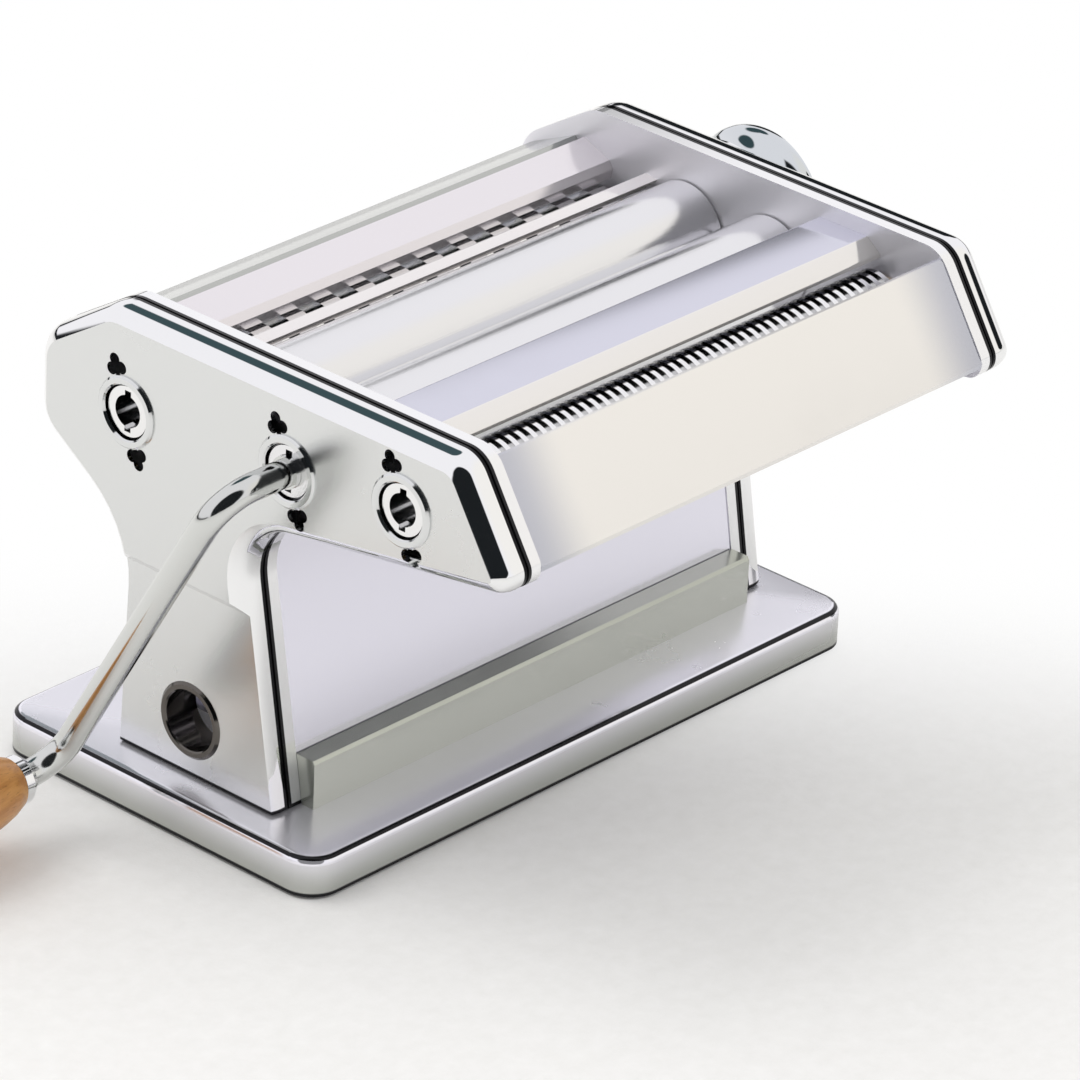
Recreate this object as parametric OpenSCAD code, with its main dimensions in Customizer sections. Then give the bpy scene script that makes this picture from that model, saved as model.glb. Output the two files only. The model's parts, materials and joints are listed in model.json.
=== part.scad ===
// Hand-cranked pasta roller machine: a pair of smooth rollers with a stepless
// thickness dial, a fine cutter pair in front and a wide cutter pair behind,
// carried between two steel side frames on a low pan base.
// X runs across the machine (crank at -X, thickness dial at +X), the fine
// cutter side faces -Y and Z is up. The origin is the middle of the underside.

/* [Body] */
// Clear width between the two side frames
clear_width = 170; // [150:1:200]
// Height of the top edge of the sides above the table
head_top = 138.5; // [130:0.5:150]
// Y of the vertical rear face of the sides
rear_face_y = 52.5; // [50:0.5:60]
// Y of the lowest front tip of the sides
front_tip_y = -116; // [-122:0.5:-114]
// Y of the leg's front edge where it meets the head
leg_front_top_y = -19.5; // [-22:0.5:-18]
// Y of the leg's front edge at the base
leg_front_foot_y = -33.5; // [-38:0.5:-30]
// Y of the leg's rear edge where it meets the head
leg_rear_top_y = 20.5; // [19:0.5:24]
// Y of the leg's rear edge at the base
leg_rear_foot_y = 23.5; // [22:0.5:30]
// Rounding of the sides' outer corners
corner_round = 12; // [8:0.5:14]
// Hollow rounding where the leg meets the underside of the head
throat_round = 17; // [10:0.5:20]

/* [Side plates] */
// Sheet thickness of the inner side frames
frame_sheet = 1.5; // [1.2:0.1:2]
// Width of the turned-out rim of a side frame
frame_rim = 4.4; // [3.8:0.1:4.8]
// Open joint between a side frame's rim and its cover
joint_gap = 0.6; // [0.3:0.1:0.9]
// Depth of the pressed side covers
cover_depth = 9; // [8.5:0.1:10]
// Sheet thickness of the side covers
cover_sheet = 1.2; // [1:0.1:1.5]
// Width of the sloping band round a cover's face
bevel_width = 4; // [2:0.1:5]
// Crown radius of a cover's side wall
crown_r = 10; // [8:0.5:12]
// Inward step of a cover's face along the leg
leg_step = 3.5; // [2.5:0.1:4]
// Height of the middle of that step
leg_step_z = 68.5; // [60:0.5:74]

/* [Base] */
// How far the base sticks out past the side covers
base_overhang = 7; // [3:0.5:12]
// Depth of the base, front to back
base_depth = 116; // [110:1:130]
// Height of the base's top above the table
base_height = 12; // [10:0.5:16]
// Corner radius of the base, seen from above
base_corner = 9; // [5:0.5:14]
// Edge radius round the top of the base
base_edge = 2.4; // [1:0.1:3]
// Sheet thickness of the base
base_sheet = 1.4; // [1:0.1:2]
// Thickness of the anti-slip mat under the base
mat_thickness = 1.6; // [1.4:0.1:3]

/* [Smooth rollers] */
// Radius of both smooth rollers
roller_r = 13.5; // [13:0.1:14]
// Y of the fixed smooth roller's axis
main_y = -38.5; // [-40:0.5:-37]
// Drop of the fixed roller's axis below the top edge
main_drop = 23.5; // [22.5:0.5:25]
// Narrowest gap between the smooth rollers
gap_min = 0.3; // [0.2:0.05:0.6]
// Widest gap between the smooth rollers
gap_max = 3; // [2.4:0.1:3.2]
// Running gap between a roller's end and a side frame
end_gap = 0.6; // [0.3:0.1:1]

/* [Cutters] */
// Radius over the cutting rings
cutter_r = 8.7; // [8.4:0.1:8.9]
// Depth to which the rings of a pair reach into each other
cutter_mesh = 1; // [0.8:0.1:1.2]
// Depth of the grooves between the rings
groove_depth = 2.3; // [2:0.1:2.5]
// Strand width of the fine cutter
fine_strand = 1.7; // [1.5:0.1:2.5]
// Strand width of the wide cutter
wide_strand = 6.5; // [5:0.5:8]
// Side play between meshing rings
ring_play = 0.1; // [0.06:0.01:0.15]
// Y of the front cutter's driven axis
front_cutter_y = -78; // [-80:0.5:-77]
// Drop of the front cutter's driven axis below the top edge
front_cutter_drop = 19.7; // [19:0.1:21]
// Y of the rear cutter's driven axis
rear_cutter_y = 19; // [18:0.5:21]
// Drop of the rear cutter's driven axis below the top edge
rear_cutter_drop = 27.7; // [27:0.1:29]

/* [Shafts and gears] */
// Radius of the three driven journals on the crank side
socket_r = 7; // [6.6:0.1:7.2]
// Radius of the crank's socket bores
socket_bore_r = 4.5; // [4:0.1:4.8]
// Depth of the crank's socket bores
socket_depth = 16; // [12:0.5:20]
// Radius of the plain journals
journal_r = 4; // [3.5:0.1:4.2]
// Wall of the bearing bushes
bush_wall = 2; // [1.5:0.1:2.2]
// Radial running clearance of every journal
running_gap = 0.05; // [0.03:0.01:0.09]
// Face width of the gears
gear_width = 6; // [4:0.5:6.5]
// Teeth of each smooth roller gear
roller_teeth = 16; // [16:1:16]
// Teeth of each cutter gear
cutter_teeth = 12; // [12:1:12]

/* [Crank] */
// Distance from the crank's axis to the grip's axis
crank_throw = 113; // [105:1:114]
// Lean of the crank arm from straight down, to the rear
crank_lean = 30.5; // [20:0.5:40]
// Radius of the crank's steel rod
crank_rod_r = 3.75; // [3.2:0.05:4]
// Bend radius of the rod's middle line
crank_bend = 11; // [9:0.5:14]
// Reach of the arm's middle line outside the cover
crank_reach = 23.5; // [22:0.5:30]
// Length of the turned wooden grip
grip_length = 62; // [50:1:80]
// Largest radius of the grip
grip_r = 11.5; // [9:0.1:12]

/* [Thickness dial] */
// Radius of the dial knob
knob_r = 21.5; // [18:0.5:22]
// Thickness of the dial knob
knob_depth = 17; // [14:0.5:20]
// Travel of the knob when it is pulled out to turn
knob_travel = 4; // [3:0.5:5]
// Thickness of the dial plate on the cover
dial_plate_t = 1; // [0.8:0.1:1.5]

/* [Clamp] */
// Radius of the table clamp's hole in the crank-side leg
clamp_r = 8.5; // [7:0.1:9]
// Height of the clamp hole
clamp_z = 28.3; // [26:0.1:34]

/* [Hidden] */

$fn = 64;
arc_step = 8.7;             // largest turn between two points of a rounded corner
seat = 0.05;                // play of a fixed piece in its hole

// ---- places across the machine, measured from the middle ----
frame_x = clear_width / 2;                       // inner face of a side frame
frame_out_x = frame_x + frame_sheet;             // outer face of its sheet
rim_x = frame_x + frame_rim;                     // edge of its rim
cover_x = rim_x + joint_gap;                     // inner edge of a cover
face_x = cover_x + cover_depth;                  // outer face of a cover
face_in_x = face_x - cover_sheet;                // inside of that face
leg_face_x = face_x - leg_step;                  // outer face along the leg
leg_face_in_x = leg_face_x - cover_sheet;
gear_x0 = frame_out_x + 2;                       // gears in the side cavities
gear_x1 = gear_x0 + gear_width;
roller_x = frame_x - end_gap;                    // end face of every roller
base_x = face_x + base_overhang;

// ---- axes, as [Y, Z] ----
ecc = (gap_max - gap_min) / 2;                   // throw of the thickness shaft
main_axis = [main_y, head_top - main_drop];
dial_axis = main_axis + [2 * roller_r + gap_min + ecc, 0];
adjust_axis = dial_axis + [ecc, 0];              // rest: rollers widest apart
cutter_gap = 2 * cutter_r - cutter_mesh;         // distance between a pair's axes
front_dir = 193;                                 // from the driven axis to its mate
rear_dir = 230;
front_axis = [front_cutter_y, head_top - front_cutter_drop];
front_mate_axis = front_axis + cutter_gap * [cos(front_dir), sin(front_dir)];
rear_axis = [rear_cutter_y, head_top - rear_cutter_drop];
rear_mate_axis = rear_axis + cutter_gap * [cos(rear_dir), sin(rear_dir)];
clamp_axis = [-2.8, clamp_z];
crank_dir = [sin(crank_lean), -cos(crank_lean)];
grip_axis = main_axis + crank_throw * crank_dir;
sockets = [rear_axis, main_axis, front_axis];
tie_axes = [[rear_face_y - 10, head_top - 31], [main_y - 24.5, head_top - 10.5],
    [leg_front_foot_y + 11.5, base_height + 20], [leg_rear_foot_y - 11.5, base_height + 20]];
post_axes = [[rear_face_y - 11, head_top - 20], [front_tip_y + 25, head_top - 7.5],
    [(main_axis.x + adjust_axis.x) / 2, head_top - 7.2]];
leg_post_axes = [[leg_front_foot_y + 13, base_height + 33], [leg_rear_foot_y - 10, base_height + 33]];

// ---- outline of the sides: [corner, radius], counter-clockwise seen from +X ----
tip_round = 5;
front_top = [front_tip_y + 20, head_top];
front_tip = [front_tip_y, head_top - 31.5];
rear_top = [rear_face_y - 26, head_top];
rear_shoulder = [rear_face_y, head_top - 16.5];
side_corners = [
    [rear_top, corner_round],
    [front_top, corner_round - 3],
    [front_tip, tip_round],
    [[leg_front_top_y, head_top - 46], throat_round],
    [[leg_front_foot_y, base_height], 0.6],
    [[leg_rear_foot_y, base_height], 0.6],
    [[leg_rear_top_y, head_top - 63], 2.4 * corner_round],
    [[rear_face_y, head_top - 41.5], corner_round],
    [rear_shoulder, corner_round]];

function unit(v) = v / norm(v);
function cross2(a, b) = a.x * b.y - a.y * b.x;
function left_of(v) = [-v.y, v.x];

// Points of a circular arc of radius r that rounds corner b between a and c, one
// point every step degrees.
function corner_arc(a, b, c, r, step = arc_step) =
    let (u = unit(a - b), w = unit(c - b), half = acos(u * w) / 2,
         mid = b + unit(u + w) * (r / sin(half)),
         s = b + u * (r / tan(half)) - mid, e = b + w * (r / tan(half)) - mid,
         a0 = atan2(s.y, s.x), turn = (atan2(e.y, e.x) - a0 + 540) % 360 - 180,
         n = max(2, ceil(abs(turn) / step)))
    [for (i = [0:n]) mid + r * [cos(a0 + turn * i / n), sin(a0 + turn * i / n)]];

// The side outline moved inwards by d, with its rounded corners.
function side_outline(d = 0) =
    let (n = len(side_corners),
         p = [for (c = side_corners) c[0]],
         q = [for (i = [0:n - 1])
             let (n1 = left_of(unit(p[i] - p[(i + n - 1) % n])),
                  n2 = left_of(unit(p[(i + 1) % n] - p[i])))
             p[i] + d * (n1 + n2) / (1 + n1 * n2)],
         convex = [for (i = [0:n - 1])
             cross2(p[i] - p[(i + n - 1) % n], p[(i + 1) % n] - p[i]) > 0])
    [for (i = [0:n - 1]) each corner_arc(q[(i + n - 1) % n], q[i], q[(i + 1) % n],
        max(0.3, side_corners[i][1] + (convex[i] ? -d : d)),
        side_corners[i][1] < tip_round ? 3 * arc_step : arc_step)];

// A bent sheet: the points of its outer side, thickened by t to the left.
function sheet(p, t) =
    let (n = len(p),
         back = [for (i = [0:n - 1])
             let (d1 = unit(p[max(i, 1)] - p[max(i, 1) - 1]),
                  d2 = unit(p[min(i, n - 2) + 1] - p[min(i, n - 2)]),
                  n1 = left_of(d1), n2 = left_of(d2))
             p[i] + t * (n1 + n2) / (1 + n1 * n2)])
    concat(p, [for (i = [n - 1:-1:0]) back[i]]);

// Spur gear outline with n tapered teeth; one tooth points along +X of the plane.
function gear_points(n, root, mid, tip, t_root, t_mid, t_tip) =
    [for (i = [0:n - 1]) each
        let (a = 360 * i / n, hr = asin(t_root / 2 / root), hm = asin(t_mid / 2 / mid),
             ht = asin(t_tip / 2 / tip))
        [root * [cos(a - hr), sin(a - hr)], mid * [cos(a - hm), sin(a - hm)],
         tip * [cos(a - ht), sin(a - ht)], tip * [cos(a + ht), sin(a + ht)],
         mid * [cos(a + hm), sin(a + hm)], root * [cos(a + hr), sin(a + hr)]]];

// Stands a drawing of [Y, Z] points up and extrudes it from x0 to x1.
module along_x(x0, x1) {
    translate([x0, 0, 0]) rotate([90, 0, 90]) linear_extrude(x1 - x0) children();
}

// A round bar on an axis, from x0 to x1.
module bar(axis, x0, x1, r) {
    along_x(x0, x1) translate(axis) circle(r = r);
}

// A ring on an axis, from x0 to x1.
module ring(axis, x0, x1, r_in, r_out) {
    along_x(x0, x1) translate(axis) difference() {
        circle(r = r_out);
        circle(r = r_in);
    }
}

// Turns a [radius, x] outline round an axis.
module turned(axis, points) {
    translate([0, axis.x, axis.y]) rotate([0, 90, 0]) rotate_extrude() polygon(points);
}

// A block with rounded upright corners, standing on z.
module rounded_block(x, y, z0, z1, r) {
    translate([0, 0, z0]) linear_extrude(z1 - z0) {
        square([2 * x - 2 * r, 2 * y], center = true);
        square([2 * x, 2 * y - 2 * r], center = true);
        for (sx = [-1, 1], sy = [-1, 1])
            translate([sx * (x - r), sy * (y - r)]) circle(r = r);
    }
}

// ---- base ----
module base_pan() {
    color([0.86, 0.87, 0.88]) difference() {
        union() {
            rounded_block(base_x, base_depth / 2, base_foot, base_height - base_edge, base_corner);
            base_crown();
        }
        rounded_block(base_x - base_sheet, base_depth / 2 - base_sheet, -1,
            base_height - base_sheet, base_corner - base_sheet);
        for (p = bracket_screws)
            translate([p.x, p.y, 0]) cylinder(r = screw_r + seat, h = base_height + 1);
    }
}
base_foot = 0.6;                                 // shadow gap under the pan's edge

// The top of the pan with its rolled edge, as a stack of bars and corner turnings.
module base_crown() {
    x = base_x - base_corner;
    y = base_depth / 2 - base_corner;
    z = base_height - base_edge;
    arc = [for (i = [0:6]) base_edge * [sin(90 - 15 * i), cos(90 - 15 * i)]];
    edge = concat([[0, 0]], [for (p = arc) [base_corner - base_edge + p.x, p.y]], [[0, base_edge]]);
    for (sx = [-1, 1], sy = [-1, 1])
        translate([sx * x, sy * y, z]) rotate_extrude() polygon(edge);
    bar_y = concat([for (p = edge) [y + p.x, p.y]], [for (i = [len(edge) - 1:-1:0]) [-y - edge[i].x, edge[i].y]]);
    bar_x = concat([for (p = edge) [x + p.x, p.y]], [for (i = [len(edge) - 1:-1:0]) [-x - edge[i].x, edge[i].y]]);
    translate([-x, 0, z]) rotate([90, 0, 90]) linear_extrude(2 * x) polygon(bar_y);
    translate([0, y, z]) rotate([90, 0, 0]) linear_extrude(2 * y) polygon(bar_x);
}

module anti_slip_mat() {
    inset = base_sheet + 0.4;
    color([0.08, 0.08, 0.08]) difference() {
        rounded_block(base_x - inset, base_depth / 2 - inset, 0, base_height - base_sheet,
            base_corner - inset);
        translate([0, 0, mat_thickness])
            rounded_block(base_x - inset - mat_rim, base_depth / 2 - inset - mat_rim, 0,
                base_height, base_corner - inset);
        for (p = bracket_screws)
            translate([p.x, p.y, mat_thickness]) cylinder(r = screw_head_r + 1, h = base_height);
    }
}
mat_rim = 5;

screw_r = 2;
screw_head_r = 3.6;
bracket_w = 24;                                  // along the leg
bracket_foot = 14;                               // across, on the base
bracket_t = 1.6;
bracket_y = (leg_front_foot_y + leg_rear_foot_y) / 2;
bracket_screws = [for (s = [-1, 1], d = [-1, 1])
    [s * (frame_x - bracket_foot / 2 - 1), bracket_y + d * bracket_w / 3]];

module leg_brackets() {
    color([0.6, 0.6, 0.6]) for (s = [0, 1]) mirror([s, 0, 0]) difference() {
        translate([frame_x, bracket_y + bracket_w / 2, base_height]) rotate([90, 0, 0])
            linear_extrude(bracket_w) polygon([[0, 0], [0, 13], [-bracket_t, 13],
                [-bracket_t, bracket_t], [-bracket_foot, bracket_t], [-bracket_foot, 0]]);
        for (d = [-1, 1])
            translate([frame_x - bracket_foot / 2 - 1, bracket_y + d * bracket_w / 3, 0])
                cylinder(r = screw_r + seat, h = base_height + 5);
    }
}

module base_screws() {
    head_t = 2.2;
    color([0.75, 0.75, 0.75]) for (p = bracket_screws) translate([p.x, p.y, 0]) {
        translate([0, 0, base_height - base_sheet - head_t])
            cylinder(r = screw_head_r, h = head_t, $fn = 6);
        translate([0, 0, base_height - base_sheet - 0.01])
            cylinder(r = screw_r, h = base_sheet + bracket_t + 0.01);
        translate([0, 0, base_height + bracket_t])
            cylinder(r = screw_head_r, h = head_t, $fn = 6);
    }
}

// ---- side frames and covers, drawn for the +X side ----
module side_frame(journals) {
    difference() {
        union() {
            along_x(frame_x, frame_out_x) polygon(side_outline());
            along_x(frame_out_x - 0.01, rim_x) difference() {
                polygon(side_outline());
                polygon(side_outline(frame_sheet));
            }
        }
        for (j = journals) bar(j[0], frame_x - 1, frame_out_x + 1, j[1]);
        for (p = tie_axes) bar(p, frame_x - 1, frame_out_x + 1, tie_thread_r + seat);
    }
}

big_bush_r = socket_r + running_gap + bush_wall;         // outside of the socket bushes
small_bush_r = journal_r + running_gap + bush_wall;      // outside of the journal bushes
hub_r = socket_r + 0.5;                                  // hub of the adjustable roller
hub_hole_r = hub_r + ecc + 0.4;                          // its moving room in the frame
tie_thread_r = 2.5;

module left_side_frame() {
    color([0.82, 0.83, 0.85]) mirror([1, 0, 0]) difference() {
        side_frame([for (s = sockets) [s, big_bush_r],
            [front_mate_axis, small_bush_r], [rear_mate_axis, small_bush_r],
            [dial_axis, hub_hole_r]]);
        bar(clamp_axis, frame_x - 1, frame_out_x + 1, clamp_r + clamp_wall);
    }
}

module right_side_frame() {
    color([0.82, 0.83, 0.85]) side_frame([[dial_axis, big_bush_r],
        for (a = [main_axis, front_axis, rear_axis, front_mate_axis, rear_mate_axis])
            [a, small_bush_r]]);
}

// A closed solid through a row of rings of equal length, each [x, points].
module loft(rings) {
    n = len(rings[0][1]);
    m = len(rings);
    polyhedron(
        points = [for (r = rings) each [for (p = r[1]) [r[0], p.x, p.y]]],
        faces = concat(
            [[for (i = [0:n - 1]) i]],
            [for (k = [0:m - 2], i = [0:n - 1])
                [k * n + i, (k + 1) * n + i, (k + 1) * n + (i + 1) % n, k * n + (i + 1) % n]],
            [[for (i = [n - 1:-1:0]) (m - 1) * n + i]]));
}

// The room outside a leg's face: below the step the cover is set in.
module leg_room(face, step) {
    translate([0, 200, 0]) rotate([90, 0, 0]) linear_extrude(400)
        polygon([[face + 5, leg_step_z + step / 2 + 5], [face, leg_step_z + step / 2],
            [face - step, leg_step_z - step / 2], [face - step, 0], [face + 5, 0]]);
}

// Section of a cover's wall and rolled edge: a crowned wall, a crease, then the
// curved bevel up to the face. Both angles are from the wall, in degrees.
crown_span = [-8, 24];
bevel_span = [34, 65];
crown_end = crown_r * (1 - cos(crown_span[1]));
bevel_r = (bevel_width - crown_end) / (cos(bevel_span[0]) - cos(bevel_span[1]));
bevel_depth = bevel_r * (sin(bevel_span[1]) - sin(bevel_span[0]));
crown_x = face_x - bevel_depth - crown_r * sin(crown_span[1]);

// The rings of that section, as [x, outline], a little longer than the cover.
edge_rings = concat(
    [[cover_x - 1, side_outline(crown_r * (1 - cos(crown_span[0])))]],
    [for (a = [crown_span[0]:8:crown_span[1]])
        [crown_x + crown_r * sin(a), side_outline(crown_r * (1 - cos(a)))]],
    [for (i = [1:4]) let (a = bevel_span[0] + (bevel_span[1] - bevel_span[0]) * i / 4)
        [face_x + bevel_r * (sin(a) - sin(bevel_span[1])),
         side_outline(bevel_width + bevel_r * (cos(bevel_span[1]) - cos(a)))]],
    [[face_x + 0.5, side_outline(bevel_width + 0.5 * tan(bevel_span[1]))]]);

module side_cover() {
    difference() {
        intersection() {
            loft(edge_rings);
            along_x(cover_x, face_x) square(400, center = true);
        }
        leg_room(face_x, leg_step);
        difference() {
            along_x(cover_x - 1, face_in_x) polygon(side_outline(cover_sheet));
            leg_room(face_in_x, leg_step);
            along_x(face_x - bevel_depth, face_x) difference() {
                square(1000, center = true);
                polygon(side_outline(bevel_width));
            }
        }
        translate([0, 0, base_height - 5]) cube([1000, 1000, 10.8], center = true);
    }
}

mark_r = 12.3;                                   // from a socket's axis to its punched marks
mark_lean = 19;

// Punched three-lobed mark with its stem towards the socket.
module mark() {
    lobe = 1.75;
    translate([0, 1.9]) circle(r = lobe);
    for (s = [-1, 1]) translate([s * 1.8, -0.5]) circle(r = lobe);
    translate([-0.8, -3.6]) square([1.6, 4]);
}

module left_side_cover() {
    color([0.86, 0.87, 0.88]) mirror([1, 0, 0]) difference() {
        side_cover();
        for (s = sockets) {
            bar(s, face_in_x - 1, face_x + 1, collar_r + seat);
            for (turn = [0, 180])
                along_x(face_in_x - 1, face_x + 1) translate(s) rotate(turn - mark_lean)
                    translate([0, mark_r]) mark();
        }
        bar(clamp_axis, leg_face_in_x - 1, leg_face_x + 1, clamp_r + clamp_wall + seat);
    }
}

module right_side_cover() {
    color([0.86, 0.87, 0.88]) difference() {
        side_cover();
        bar(dial_axis, face_in_x - 1, face_x + 1, socket_r + 1);
    }
}

// Posts that carry a cover on its frame.
module standoffs() {
    for (p = post_axes) bar(p, frame_out_x, face_in_x, 2.6);
    for (p = leg_post_axes) bar(p, frame_out_x, leg_face_in_x, 2.6);
}

module left_standoffs() {
    color([0.7, 0.7, 0.7]) mirror([1, 0, 0]) standoffs();
}

module right_standoffs() {
    color([0.7, 0.7, 0.7]) standoffs();
}

// ---- cross members ----
tie_r = 4;
nut_t = 2.6;

module tie_rods() {
    color([0.78, 0.78, 0.8]) for (p = tie_axes) {
        bar(p, -frame_x, frame_x, tie_r);
        bar(p, -frame_out_x - nut_t, frame_out_x + nut_t, tie_thread_r);
    }
}

module tie_rod_nuts() {
    color([0.7, 0.7, 0.7]) for (p = tie_axes, s = [0, 1]) mirror([s, 0, 0])
        along_x(frame_out_x, frame_out_x + nut_t) translate(p) difference() {
            circle(r = 4.6, $fn = 6);
            circle(r = tie_thread_r + seat);
        }
}

panel_t = 1;                                     // sheet of the panels and guards
guard_drop = 4.5;                                // top of the front guard below the top edge
front_run = unit(front_tip - front_top);

// Sheet that closes the head's sloping front, with its edges turned in.
module front_panel() {
    top = front_top + front_run * 2;
    foot = front_top + front_run * 32;
    in = left_of(front_run);
    color([0.9, 0.89, 0.87]) along_x(-frame_x, frame_x) polygon(sheet([
        top + in * 5 + front_run * 1.2, top + in * 2, top + in * 0.7 + front_run * 0.4, top + in * 0.3 + front_run * 1.6,
        foot + in * 0.3, foot + in * 1.2 + front_run, foot + in * 5 + front_run], panel_t));
}

guard_rear_y = main_y - 17.2;
guard_front_y = main_y - 32.6;

// Channel between the smooth rollers and the front feed slot.
module front_guard() {
    z = head_top - guard_drop;
    color([0.85, 0.85, 0.92]) along_x(-frame_x, frame_x) polygon(sheet([
        [guard_rear_y + 1.6, z - 7], [guard_rear_y + 1.2, z - 1.6],
        [guard_rear_y + 0.3, z - 0.4], [guard_rear_y - 0.8, z],
        [guard_front_y + 0.8, z], [guard_front_y - 0.1, z - 0.5],
        [guard_front_y - 2.1, z - 7.1]], panel_t));
}

guard_ridge = [rear_face_y - 21.7, head_top - 8.7];
guard_lip = [rear_face_y - 34, head_top - 13.7];

// Sloping guard behind the smooth rollers.
module rear_guard() {
    run = unit(guard_lip - guard_ridge);
    color([0.9, 0.87, 0.88]) along_x(-frame_x, frame_x) polygon(sheet([
        guard_ridge + [0, -5], guard_ridge + [0, -1.5], guard_ridge + run * 1.5,
        guard_lip - run * 1.6, guard_lip + [0.1, -1.6], guard_lip + [0.6, -4.5]], panel_t));
}

// Rear closing sheet: slope behind the ridge, then the upright rear face.
module rear_panel() {
    w = rear_face_y - 1.4;
    color([0.75, 0.77, 0.78]) along_x(-frame_x, frame_x) polygon(sheet([
        [w - 4, head_top - 41], [w - 1, head_top - 40], [w, head_top - 38],
        [w, head_top - 20.5], [w - 0.8, head_top - 18.4], [w - 2.6, head_top - 17],
        guard_ridge + [2, -1.2], guard_ridge + [0.4, -2.6], guard_ridge + [0.4, -5]], panel_t));
}

leg_front_run = unit([leg_front_foot_y, base_height] - [leg_front_top_y, head_top - 46]);
leg_rear_run = unit([leg_rear_foot_y, base_height] - [leg_rear_top_y, head_top - 63]);

// Sheet between the legs, flush with their front edges.
module leg_front_panel() {
    top = [leg_front_top_y, head_top - 46] + leg_front_run * 3;
    foot = [leg_front_foot_y, base_height] - leg_front_run * 0.4;
    in = left_of(leg_front_run);
    color([0.85, 0.84, 0.9]) along_x(-frame_x, frame_x) polygon(sheet([
        top + [8, 3.5], top + [1.6, 2.6], top + in * 0.3, foot + in * 0.3], panel_t));
}

module leg_rear_panel() {
    top = [leg_rear_top_y, head_top - 63] + leg_rear_run * 14;
    foot = [leg_rear_foot_y, base_height] - leg_rear_run * 0.1;
    in = -left_of(leg_rear_run);
    color([0.85, 0.84, 0.9]) along_x(-frame_x, frame_x) polygon(sheet([
        foot + in * 0.4, top + in * 0.4, top + [-4, 3]], panel_t));
}

// Raised strip along the foot of the front sheet.
module leg_front_sill() {
    h = 14;
    y = leg_front_foot_y;
    lean = h * leg_front_run.x / leg_front_run.y;
    color([0.72, 0.73, 0.66]) along_x(-frame_x, frame_x) polygon([[y - 4.2, base_height],
        [y - 4.2, base_height + h - 1], [y - 3.6, base_height + h],
        [y + lean - 0.1, base_height + h], [y - 0.1, base_height]]);
}

// ---- bearings ----
collar_r = socket_r + 1.6;                       // barrel of the socket collars
collar_flange_r = 10;
collar_flange_t = 0.9;
clamp_wall = 1.1;

module socket_collars() {
    color([0.85, 0.86, 0.87]) mirror([1, 0, 0]) for (s = sockets) {
        ring(s, face_in_x - 2, face_x + 0.01, socket_r + 0.6, collar_r);
        turned(s, [[socket_r + 0.6, face_x], [collar_flange_r, face_x],
            [collar_flange_r, face_x + 0.4], [collar_flange_r - 0.6, face_x + collar_flange_t],
            [socket_r + 1, face_x + collar_flange_t], [socket_r + 0.6, face_x + 0.4]]);
    }
}

bush_x0 = frame_x - end_gap + 0.15;
bush_x1 = frame_out_x + 1.6;

module socket_bushes() {
    color([0.72, 0.6, 0.35]) {
        for (s = sockets) mirror([1, 0, 0])
            ring(s, bush_x0, bush_x1, socket_r + running_gap, big_bush_r);
        ring(dial_axis, bush_x0, bush_x1, socket_r + running_gap, big_bush_r);
    }
}

module journal_bushes() {
    color([0.72, 0.6, 0.35]) {
        for (s = [front_mate_axis, rear_mate_axis]) mirror([1, 0, 0])
            ring(s, bush_x0, bush_x1, journal_r + running_gap, small_bush_r);
        for (s = [main_axis, front_axis, rear_axis, front_mate_axis, rear_mate_axis])
            ring(s, bush_x0, bush_x1, journal_r + running_gap, small_bush_r);
    }
}

stub_r = journal_r - 0.5;                        // far end of the thickness shaft

module adjuster_bearing() {
    color([0.72, 0.6, 0.35]) mirror([1, 0, 0])
        ring(dial_axis, face_in_x - 2.6, face_in_x, stub_r + running_gap, stub_r + 3);
}

module clamp_bush() {
    color([0.85, 0.86, 0.87]) mirror([1, 0, 0]) {
        ring(clamp_axis, frame_x, leg_face_x + 0.01, clamp_r, clamp_r + clamp_wall);
        turned(clamp_axis, [[clamp_r, leg_face_x], [clamp_r + 2.4, leg_face_x],
            [clamp_r + 1.6, leg_face_x + 0.7], [clamp_r + 0.4, leg_face_x + 0.7], [clamp_r, leg_face_x + 0.3]]);
    }
}

// ---- scrapers and combs ----
scraper_gap = 0.4;
scraper_length = 6;
comb_bar = 2;                                    // square bar that carries a comb's teeth

// A blade whose edge stays a little off a roller, from angle a of the roller.
module blade(axis, r, a, length) {
    along_x(-frame_x, frame_x) translate(axis) rotate(a) translate([r, -0.5]) square([length, 1]);
}

module main_scraper() {
    color([0.8, 0.8, 0.8]) blade(main_axis, roller_r + scraper_gap, 235, scraper_length);
}

module adjustable_scraper() {
    color([0.8, 0.8, 0.8]) blade(dial_axis, roller_r + ecc + scraper_gap, 285, scraper_length);
}

// Comb: a bar with one tooth in each groove of a cutter.
module comb(axis, a, strand, phase) {
    core = cutter_r - groove_depth;
    tooth_in = core + 0.5;
    bar_in = cutter_r + 0.8;
    translate([0, axis.x, axis.y]) rotate([a, 0, 0]) {
        translate([-frame_x, bar_in, -comb_bar / 2]) cube([2 * frame_x, comb_bar, comb_bar]);
        for (x = ring_places(strand, 1 - phase))
            translate([x - strand / 2 + 0.2, tooth_in, -0.6])
                cube([strand - 0.4, bar_in - tooth_in + 0.01, 1.2]);
    }
}

module front_drive_comb() {
    color([0.8, 0.8, 0.8]) comb(front_axis, 285, fine_strand, 0);
}

module front_mate_comb() {
    color([0.8, 0.8, 0.8]) comb(front_mate_axis, 300, fine_strand, 1);
}

module rear_drive_comb() {
    color([0.8, 0.8, 0.8]) comb(rear_axis, 315, wide_strand, 0);
}

module rear_mate_comb() {
    color([0.8, 0.8, 0.8]) comb(rear_mate_axis, 300, wide_strand, 1);
}

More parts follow.
